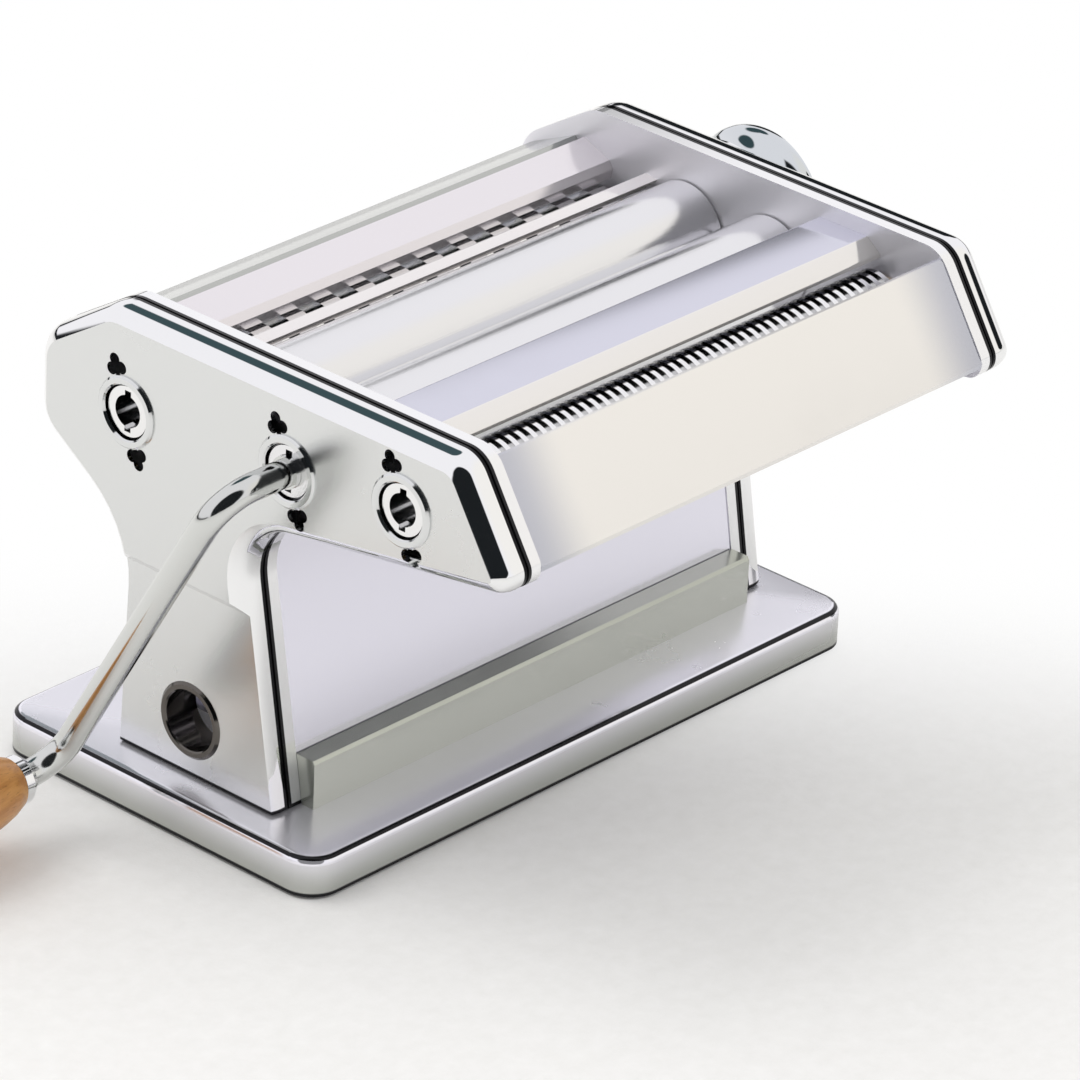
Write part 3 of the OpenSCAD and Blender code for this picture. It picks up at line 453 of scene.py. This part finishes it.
def zoned_group(name, masks_of):
    tree, start, end = new_group(
        name, [("Roughness", 0.04), ("Flat Roughness", 0.3), ("Level Roughness", 0.3),
               ("Smudge", 0.05)],
        ["Roughness", "Height", "Flat", "Line"])
    marks_here = add_group(tree, handling, Roughness=start.outputs["Roughness"],
                           Smudge=start.outputs["Smudge"])
    coordinates = tree.nodes.new("ShaderNodeTexCoord")
    normal = add(tree, "ShaderNodeSeparateXYZ", Vector=coordinates.outputs["Normal"])
    spot = add(tree, "ShaderNodeSeparateXYZ", Vector=object_position(tree))
    flat, level, line = masks_of(tree, normal.outputs, spot.outputs)
    rough = marks_here.outputs["Roughness"]
    for label, mask in (("Flat Roughness", flat), ("Level Roughness", level)):
        if mask:
            spread = math_node(tree, "SUBTRACT", start.outputs[label],
                               start.outputs["Roughness"])
            rough = math_node(tree, "ADD", rough, math_node(tree, "MULTIPLY", mask, spread))
    for label, value in (("Roughness", rough), ("Height", marks_here.outputs["Height"]),
                         ("Flat", flat), ("Line", line)):
        feed(tree, end.inputs[label], value)
    return tree


print("zone helpers:", [helper.__name__ for helper in (below, inside, zoned_group)])

# %% [markdown]
# ## The frames and covers
#
# The flats of the frames and covers face along X. Two black lines of painted shade go on
# them: the shadow in the joint where a frame's rim meets its cover, and the shadow at the
# foot of the cover. They could be left to the reflections, but those move as the view
# does, so a mask paints them in their place.

# %% Group: pressed
SIDE_FACING = (0.93, 0.99)                   # how far along X the normal of a flat points
JOINT_SHADE_REACH, JOINT_SOFT = 0.0009, 0.00015     # black to each side of the joint, and its edge
FOOT_SHADE_REACH, FOOT_SOFT = 0.0008, 0.0003        # black up from the foot of a cover, and its edge

rim_edge = -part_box("left_side_frame")[0].x
cover_edge = -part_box("left_side_cover")[1].x
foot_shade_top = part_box("left_side_cover")[0].z + FOOT_SHADE_REACH


# The joint and foot masks paint shade: black over the shadowed gap between rim and cover, and
# along the cover's foot.
def shell_masks(tree, normal, spot):
    flat = soft_range(tree, math_node(tree, "ABSOLUTE", normal["X"]), *SIDE_FACING)
    joint = inside(tree, math_node(tree, "ABSOLUTE", spot["X"]),
                   rim_edge - JOINT_SHADE_REACH, cover_edge + JOINT_SHADE_REACH, JOINT_SOFT)
    foot = below(tree, spot["Z"], foot_shade_top, foot_shade_top + FOOT_SOFT)
    return flat, None, math_node(tree, "MAXIMUM", joint, foot)


pressed = zoned_group("pressed", shell_masks)
print("joint from", round(rim_edge, 4), "to", round(cover_edge, 4))

# %% [markdown]
# ## The base pan
#
# The pan's upright walls are painted a darker grey-green, as painted shade. Its top is
# wiped level and soft. A black painted reflection lies in the roll round the top, and a
# painted contact shadow runs along the foot. One material for each zone would leave hard
# borders, and masks blend them.

# %% Group: walled
WALL_FACING = (0.90, 0.99)                   # how far from Z the normal of a wall points
TOP_FACING = (0.980, 0.998)                  # how far along Z that of the top points
ROLL_LOW, ROLL_HIGH, ROLL_SOFT = 0.60, 0.90, 0.06
PAN_FOOT_SHADE = (0.0013, 0.0018)                  # metres above the table


# Painted light: the wall mask darkens the walls as painted shade, the roll mask paints a black
# reflection, and the foot mask paints a contact shadow.
def pan_masks(tree, normal, spot):
    upright = math_node(tree, "ABSOLUTE", normal["Z"])
    wall = soft_range(tree, math_node(tree, "SUBTRACT", 1.0, upright), *WALL_FACING)
    level = soft_range(tree, upright, *TOP_FACING)
    roll = inside(tree, upright, ROLL_LOW, ROLL_HIGH, ROLL_SOFT)
    return wall, level, math_node(tree, "MAXIMUM", roll, below(tree, spot["Z"], *PAN_FOOT_SHADE))


walled = zoned_group("walled", pan_masks)
print("black foot of the pan up to", round(PAN_FOOT_SHADE[1] / MM, 2), "mm")

# %% [markdown]
# ## Painted reflection at the ends of a long sheet
#
# Towards its two ends a sheet is painted a bluish grey, as a painted reflection. A gradient
# texture could show that, but the distance from the middle along X needs only one sum,
# and the material says where the grey starts.

# %% Group: painted reflection at the ends
end_reflection_mask, start, end = new_group("end_reflection_mask", [("From", 0.05), ("To", 0.086)], ["Ends"])
across = add(end_reflection_mask, "ShaderNodeSeparateXYZ", Vector=object_position(end_reflection_mask))
from_middle = math_node(end_reflection_mask, "ABSOLUTE", across.outputs["X"])
feed(end_reflection_mask, end.inputs["Ends"],
     soft_range(end_reflection_mask, from_middle, start.outputs["From"], start.outputs["To"]))
print("group", end_reflection_mask.name, "has", len(end_reflection_mask.nodes), "nodes")

# %% [markdown]
# ## Ground steel
#
# Rollers, gears and blades are rolled or ground, which leaves fine parallel lines. As
# geometry they would be far too many, so `brushing` makes them from noise that is
# stretched about a hundred times along X.

# %% Group: brushing
GRIND = (20, 2500, 2500)                     # cells of noise in a metre along X, Y and Z
brushing, start, end = new_group("brushing", [("Roughness", 0.3), ("Depth", 0.1)],
                                 ["Roughness", "Height"])
lines = noise(brushing, object_position(brushing, GRIND), 1.0, 3.0)
grooves = math_node(brushing, "MULTIPLY", lines, start.outputs["Depth"])
feed(brushing, end.inputs["Roughness"],
     math_node(brushing, "ADD", start.outputs["Roughness"], grooves))
feed(brushing, end.inputs["Height"], lines)
print("group", brushing.name, "has", len(brushing.nodes), "nodes")

# %% [markdown]
# ## Metal finishes
#
# Each metal is a Principled shader with Metallic at 1, and a little lower on the base
# and the frames, which mirror less. Its colour is the tint of its reflections: plated
# steel is a nearly neutral grey, and bronze is warm. Each metal could have a tree of its
# own, but one recipe keeps them even: the group supplies the roughness and a height for
# the Bump node, and other amounts make a cover, a roller or a gear out of it.

# %% A recipe for metal
# The black of the painted dark lines: painted shade at joints and feet, and a painted reflection
# in the pan's roll.
PAINTED_LINE_BLACK = (0.015, 0.015, 0.017)
FINE_BUMP, SHEET_BUMP, GROUND_BUMP, GEAR_BUMP = 0.02, 0.05, 0.1, 0.2
METAL_RELIEF = 0.0004                        # metres that a bump of full strength stands for
FACTOR, FIRST, SECOND, RESULT = 0, 6, 7, 2   # the sockets of a Mix node for colours


def mix_colour(tree, factor, a, b):
    node = tree.nodes.new("ShaderNodeMix")
    node.data_type = "RGBA"
    for number, value in ((FACTOR, factor), (FIRST, a), (SECOND, b)):
        feed(tree, node.inputs[number], value)
    return node.outputs[RESULT]


def new_material(name):
    material = bpy.data.materials.new(name)
    material.use_nodes = True
    tree = material.node_tree
    return material, tree, tree.nodes["Principled BSDF"]


def add_bump(tree, shader, height, strength, distance):
    relief = add(tree, "ShaderNodeBump", Strength=strength, Distance=distance, Height=height)
    feed(tree, shader.inputs["Normal"], relief.outputs[0])


def metal(name, colour, group, bump=FINE_BUMP, flat_colour=None, metallic=1.0, **amounts):
    material, tree, shader = new_material(name)
    feed(tree, shader.inputs["Base Color"], colour)
    feed(tree, shader.inputs["Metallic"], metallic)
    effect = add_group(tree, group, **amounts)
    feed(tree, shader.inputs["Roughness"], effect.outputs["Roughness"])
    # Flats get their own colour, and the painted dark lines of shade and reflection are laid over
    # it.
    if flat_colour:
        tone = mix_colour(tree, effect.outputs["Flat"], colour, flat_colour)
        tone = mix_colour(tree, effect.outputs["Line"], tone, PAINTED_LINE_BLACK)
        feed(tree, shader.inputs["Base Color"], tone)
    add_bump(tree, shader, effect.outputs["Height"], bump, METAL_RELIEF)
    return material


print("metal helpers:", [h.__name__ for h in (mix_colour, new_material, add_bump, metal)])

# %% Metal materials
NEUTRAL = (0.88, 0.885, 0.89)
STEEL = (0.88, 0.88, 0.89)
recipes = {
    "polished_cover": dict(colour=NEUTRAL, group=pressed, flat_colour=(0.735, 0.745, 0.74),
                           Roughness=0.035, Flat_Roughness=0.26, Smudge=0.02),
    "polished_sheet": dict(colour=STEEL, group=handling, bump=SHEET_BUMP,
                           Roughness=0.08, Smudge=0.03),
    # The pan's darker wall colour is painted shade.
    "polished_base": dict(colour=(0.90, 0.89, 0.95), group=walled, metallic=0.72,
                          flat_colour=(0.50, 0.51, 0.48), Roughness=0.06,
                          Flat_Roughness=0.22, Level_Roughness=0.26, Smudge=0.02),
    "frame_steel": dict(colour=STEEL, group=pressed, metallic=0.7,
                        flat_colour=(0.86, 0.85, 0.90), Roughness=0.06,
                        Flat_Roughness=0.42, Smudge=0.03),
    "roller_steel": dict(colour=(0.82, 0.82, 0.83), group=brushing, bump=GROUND_BUMP,
                         Roughness=0.10, Depth=0.10),
    "cutter_steel": dict(colour=(0.86, 0.86, 0.86), group=handling,
                         Roughness=0.10, Smudge=0.03),
    "gear_steel": dict(colour=(0.50, 0.50, 0.52), group=brushing, bump=GEAR_BUMP,
                       Roughness=0.30, Depth=0.12),
    "bearing_bronze": dict(colour=(0.72, 0.56, 0.32), group=handling,
                           Roughness=0.22, Smudge=0.10),
    "bright_fittings": dict(colour=NEUTRAL, group=handling, Roughness=0.04, Smudge=0.03),
    "crank_steel": dict(colour=(0.66, 0.67, 0.655), group=handling,
                        Roughness=0.10, Smudge=0.10),
    "zinc_steel": dict(colour=(0.68, 0.69, 0.71), group=handling,
                       Roughness=0.28, Smudge=0.10),
    "scraper_steel": dict(colour=(0.74, 0.75, 0.76), group=brushing, bump=GROUND_BUMP,
                          Roughness=0.22, Depth=0.10),
}
finishes = {name: metal(name, **recipe) for name, recipe in recipes.items()}
print("metal finishes:", len(finishes))

# %% [markdown]
# ## Rubber
#
# The mat under the pan is black and dull with a fine grain. One dark colour would do
# from far off, but it looks like paint when it is seen close, so fine noise lightens
# the colour and raises the surface a little.

# %% Rubber finish
RUBBER, RUBBER_ROUGH = (0.03, 0.03, 0.03), 0.7
GRAIN, GRAIN_LIGHTER, GRAIN_BUMP = 1500, 1.6, 0.2
SKIN_RELIEF = 0.0002                         # metres, for rubber and wood


def dull(name, colour, roughness, grain):
    material, tree, shader = new_material(name)
    speckle = noise(tree, object_position(tree), grain, 3.0)
    lighter = tuple(min(1, c * GRAIN_LIGHTER) for c in colour)
    feed(tree, shader.inputs["Base Color"], mix_colour(tree, speckle, colour, lighter))
    feed(tree, shader.inputs["Roughness"], roughness)
    add_bump(tree, shader, speckle, GRAIN_BUMP, SKIN_RELIEF)
    return material


finishes["mat_rubber"] = dull("mat_rubber", RUBBER, RUBBER_ROUGH, GRAIN)
print("rubber of roughness", RUBBER_ROUGH)

# %% [markdown]
# ## Wood
#
# The grip is turned hardwood under a thin wax: long streaks along the turning axis, a
# few darker pores, and a coat that gives a soft sheen. Wood can be made from rings round
# a centre, but a small grip cut along the grain shows streaks, so noise that is
# stretched along X gives them.

# %% Wood finish
LIGHT_WOOD, DARK_WOOD = (0.62, 0.30, 0.085), (0.42, 0.17, 0.040)
PORE_WOOD = (0.20, 0.075, 0.02)
STREAKS, PORES = (14, 320, 320), (120, 2200, 2200)     # cells of noise in a metre
STREAK_RANGE, PORE_RANGE, PORE_SHARE = (0.3, 0.7), (0.60, 0.72), 0.5
WOOD_ROUGH, WAX, WAX_ROUGH, PORE_BUMP = 0.42, 0.35, 0.2, 0.15


def wood(name):
    material, tree, shader = new_material(name)
    streaks = noise(tree, object_position(tree, STREAKS), 1.0, 5.0, Distortion=0.6)
    pores = noise(tree, object_position(tree, PORES), 1.0, 2.0)
    pore_mask = math_node(tree, "MULTIPLY", soft_range(tree, pores, *PORE_RANGE), PORE_SHARE)
    tone = mix_colour(tree, soft_range(tree, streaks, *STREAK_RANGE), LIGHT_WOOD, DARK_WOOD)
    feed(tree, shader.inputs["Base Color"], mix_colour(tree, pore_mask, tone, PORE_WOOD))
    for label, value in (("Roughness", WOOD_ROUGH), ("Coat Weight", WAX),
                         ("Coat Roughness", WAX_ROUGH)):
        feed(tree, shader.inputs[label], value)
    add_bump(tree, shader, pores, PORE_BUMP, SKIN_RELIEF)
    return material


finishes["grip_wood"] = wood("grip_wood")
print("finishes in all:", len(finishes))

# %% [markdown]
# ## Pieces with a metal of their own
#
# The closing sheets come from different rolls and are plated on different days, and it
# shows: the top sheets and the column are cooler, the broad front sheet is warmer, and
# the low strip at the foot is left a plain grey. The collars, the clamp bush and the
# knob are plated apart. One metal would be simpler, but these small differences tell
# the pieces from each other.

# %% Metals of single pieces
SATIN = 0.75                       # Metallic of the sheets: a lacquer hides part of the mirror
CREAM, COOL = (0.85, 0.83, 0.80), (0.65, 0.65, 0.745)
# The grey of a painted reflection towards a sheet's ends.
END_REFLECTION_GREY, END_REACH = (0.52, 0.53, 0.59), 0.022


def sheet(name, colour, roughness, smudge=0.03):
    return metal(name, colour, handling, SHEET_BUMP, metallic=SATIN, Roughness=roughness,
                 Smudge=smudge)


def paint_end_reflection(material, middle, ends, half_width, reach):
    """Paints a reflection: greys a sheet's metal towards its two ends."""
    tree = material.node_tree
    mask = add_group(tree, end_reflection_mask, From=half_width - reach, To=half_width)
    feed(tree, tree.nodes["Principled BSDF"].inputs["Base Color"],
         mix_colour(tree, mask.outputs["Ends"], middle, ends))
    return material


own_metals = {
    "front_guard": sheet("guard_sheet", COOL, 0.10),
    # The slope's brighter, warmer metal is a painted reflection on the same sheet as the top.
    "guard_slope_reflection": sheet("slope_painted_reflection", (0.84, 0.82, 0.80), 0.10),
    "middle_sheet": sheet("middle_metal", (0.84, 0.81, 0.80), 0.10),
    "rear_guard": sheet("rear_sheet", (0.81, 0.775, 0.80), 0.14),
    "rear_panel": sheet("back_sheet", (0.50, 0.515, 0.51), 0.12),
    # The front sheet's ends get a painted reflection in bluish grey.
    "front_panel": paint_end_reflection(sheet("front_sheet", CREAM, 0.12), CREAM, END_REFLECTION_GREY,
                             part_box("front_panel")[1].x, END_REACH),
    "leg_front_panel": sheet("column_sheet", (0.79, 0.78, 0.87), 0.14),
    "leg_rear_panel": sheet("column_back", (0.80, 0.79, 0.85), 0.16),
    "leg_front_sill": sheet("sill_sheet", (0.54, 0.56, 0.50), 0.20, smudge=0.08),
    "socket_collars": metal("collar_chrome", (0.72, 0.73, 0.73), handling,
                            Roughness=0.07, Smudge=0.08),
    "clamp_bush": metal("clamp_bush_metal", (0.13, 0.12, 0.11), handling,
                        Roughness=0.12, Smudge=0.05),
    "dial_knob": metal("knob_chrome", (0.66, 0.69, 0.71), handling,
                       Roughness=0.04, Smudge=0.03),
}
print("metals of single pieces:", len(own_metals))

# %% [markdown]
# ## Putting the finishes on
#
# Each node of the model names its kind of material, so a loop can dress them all, and a
# node with a metal of its own takes that one. The front guard has two: its slope gets a
# brighter, warmer metal than its top, as a painted reflection. It could be cut in two
# pieces, but it is one bent sheet, so the direction of each face says which metal it gets.

# %% Put each finish on its nodes and pieces
SLOPE_UP, SLOPE_FORWARD = 0.2, -0.3          # a face of the slope points up and forward by more

for entry in frame["record"]["subparts"]:
    mesh = nodes[entry["node"]].data
    mesh.materials.clear()
    mesh.materials.append(own_metals.get(entry["node"], finishes[entry["material_slot"]]))
for piece, names in ((front_slope, ["front_guard", "guard_slope_reflection"]),
                     (middle_sheet, ["middle_sheet"]), (knob, ["dial_knob"])):
    for name in names:
        piece.data.materials.append(own_metals[name])
spring.data.materials.append(finishes["zinc_steel"])
# Faces of the slope take the brighter metal, a painted reflection.
for face in front_slope.data.polygons:
    if face.normal.z > SLOPE_UP and face.normal.y < SLOPE_FORWARD:
        face.material_index = 1

# %% [markdown]
# ## The studio
#
# The machine stands on a pale table in a white room. Dark boards round it would give
# the chrome its dark lines, but they would also take light from the table. So what the
# mirror shows of the room is drawn in the world's nodes, by direction: a bright dome, a
# warm wall, a dark side behind the camera, three narrow dark flags and a dark line at
# the horizon. To the camera itself the world is white.

# %% World
WHITE = (1, 1, 1)
DOME = (0.98, 0.97, 1.0)
WARM = (1.0, 0.975, 0.94)
DARK = (0.012, 0.014, 0.016)
TEAL = (0.05, 0.085, 0.095)
ZONES = [                                    # direction, inner and outer degrees, colour
    ((0.67, -0.66, 0.34), 20, 45, WARM),     # the warm wall, in front and away from the crank
    (back, 38, 43, DARK),                    # the dark side, behind the camera
    ((0.36, 0.59, 0.72), 12, 15.5, TEAL),    # a flag high up at the rear
    ((0.80, 0.58, 0.20), 10, 13, DARK),      # two low flags, away from the crank
    ((0.86, -0.46, 0.21), 10, 13, DARK),
]
HORIZON_BOTTOM, HORIZON_TOP = (-0.05, -0.02), (0.03, 0.07)
HORIZON_SIDE = (-0.1, 0.15)                  # the line is only at the rear, +Y
PLAIN_STRENGTH = 0.85                        # of the light on surfaces that aren't mirrors

world = bpy.data.worlds.new("studio")
bpy.context.scene.world = world
world.use_nodes = True
room_tree = world.node_tree
room_tree.nodes.clear()
direction = room_tree.nodes.new("ShaderNodeTexCoord").outputs["Generated"]


def towards(vector, inner_degrees, outer_degrees):
    """1 within inner degrees of a direction, falling to 0 at outer degrees."""
    dot = room_tree.nodes.new("ShaderNodeVectorMath")
    dot.operation = "DOT_PRODUCT"
    room_tree.links.new(direction, dot.inputs[0])
    dot.inputs[1].default_value = Vector(vector).normalized()
    return soft_range(room_tree, dot.outputs["Value"], math.cos(math.radians(outer_degrees)),
                      math.cos(math.radians(inner_degrees)))


room = DOME
for vector, inner, outer, colour in ZONES:
    room = mix_colour(room_tree, towards(vector, inner, outer), room, colour)
split = add(room_tree, "ShaderNodeSeparateXYZ", Vector=direction)
low_band = math_node(room_tree, "MULTIPLY",
                     soft_range(room_tree, split.outputs["Z"], *HORIZON_BOTTOM),
                     below(room_tree, split.outputs["Z"], *HORIZON_TOP))
horizon = math_node(room_tree, "MULTIPLY", low_band,
                    soft_range(room_tree, split.outputs["Y"], *HORIZON_SIDE))
room = mix_colour(room_tree, horizon, room, DARK)
print("zones of the room:", len(ZONES), "and the horizon")

# %% What mirrors, plain surfaces and the camera see
def choose(tree, factor, a, b):
    node = tree.nodes.new("ShaderNodeMixShader")
    for socket, value in zip(node.inputs, (factor, a, b)):
        feed(tree, socket, value)
    return node.outputs[0]


def background(colour, strength):
    return add(room_tree, "ShaderNodeBackground", Color=colour, Strength=strength).outputs[0]


rays = room_tree.nodes.new("ShaderNodeLightPath")
light = choose(room_tree, rays.outputs["Is Glossy Ray"], background(WHITE, PLAIN_STRENGTH),
               background(room, 1.0))
light = choose(room_tree, rays.outputs["Is Camera Ray"], light, background(WHITE, 1.0))
feed(room_tree, room_tree.nodes.new("ShaderNodeOutputWorld").inputs["Surface"], light)
print("world", world.name, "has", len(room_tree.nodes), "nodes")

# %% [markdown]
# ## Lamps
#
# The world lights everything evenly, and even light has no direction. So a strong lamp
# stands behind the machine and a weaker one in front, both wide, for soft shadows on the
# table. They could show as white squares in the chrome, so mirrors don't see them.

# %% Lamps
LAMPS = [                          # name, place, width in metres, power in watts
    ("key_lamp", (-0.5, 0.9, 1.5), 1.0, 9.0),
    ("fill_lamp", (0.9, -1.0, 1.4), 1.2, 5.0),
]
centre = (cad_low + cad_high) / 2
for name, spot, width, power in LAMPS:
    data = bpy.data.lights.new(name, "AREA")
    data.size = width
    data.energy = power
    lamp = bpy.data.objects.new(name, data)
    lamp.location = spot
    lamp.rotation_euler = (centre - Vector(spot)).to_track_quat("-Z", "Y").to_euler()
    lamp.visible_glossy = False
    bpy.context.scene.collection.objects.link(lamp)
print("lamps:", len(LAMPS))

# %% [markdown]
# ## The table
#
# The table is a wide pale sheet with a faint cloth texture. A studio cove curves up
# behind the object, and no edge shows. A curved sheet would do that, but a flat one is
# simpler and its end is just as hidden: it is slightly warm near the machine and turns
# white further back, for the camera only.

# %% Table
REACH, DROP = 6.0, 0.0002                    # metres: half its side, and how far under the mat
CORNERS = [(-1, -1), (1, -1), (1, 1), (-1, 1)]

mesh = bpy.data.meshes.new("table")
mesh.from_pydata([(x * REACH, y * REACH, 0) for x, y in CORNERS], [], [(0, 1, 2, 3)])
table = bpy.data.objects.new("table", mesh)
table.location.z = -DROP
bpy.context.scene.collection.objects.link(table)
print("table side", 2 * REACH, "m")

# %% Table cloth
CLOTH_DARK, CLOTH_LIGHT = (0.82, 0.81, 0.79), (0.92, 0.91, 0.90)
CLOTH_ROUGH, CLOTH_SPECULAR = 0.9, 0.1
CLOTH_SCALE, CLOTH_BUMP, CLOTH_RELIEF = 160.0, 0.25, 0.001
FADE = (-0.10, 0.12)                         # x + y, in metres, where white starts and is full

material, tree, shader = new_material("table_cloth")
position = object_position(tree)
weave = noise(tree, position, CLOTH_SCALE, 5.0, Roughness=0.65)
for label, value in (("Roughness", CLOTH_ROUGH), ("Specular IOR Level", CLOTH_SPECULAR),
                     ("Base Color", mix_colour(tree, weave, CLOTH_DARK, CLOTH_LIGHT))):
    feed(tree, shader.inputs[label], value)
add_bump(tree, shader, weave, CLOTH_BUMP, CLOTH_RELIEF)

away = add(tree, "ShaderNodeSeparateXYZ", Vector=position)
distance_back = math_node(tree, "ADD", away.outputs["X"], away.outputs["Y"])
seen = tree.nodes.new("ShaderNodeLightPath").outputs["Is Camera Ray"]
white_share = math_node(tree, "MULTIPLY", soft_range(tree, distance_back, *FADE), seen)
glow = add(tree, "ShaderNodeEmission", Color=WHITE, Strength=1.0)
cloth = choose(tree, white_share, shader.outputs[0], glow.outputs[0])
feed(tree, tree.nodes["Material Output"].inputs["Surface"], cloth)
mesh.materials.append(material)
print("cloth material has", len(tree.nodes), "nodes")

# %% [markdown]
# ## Colour management
#
# Blender's own default, AgX, holds back bright tones like film, which would turn the
# white room grey. Standard shows each colour as it is set, so white stays white.

# %% Colour management
bpy.context.scene.view_settings.view_transform = "Standard"
print("view transform:", bpy.context.scene.view_settings.view_transform)
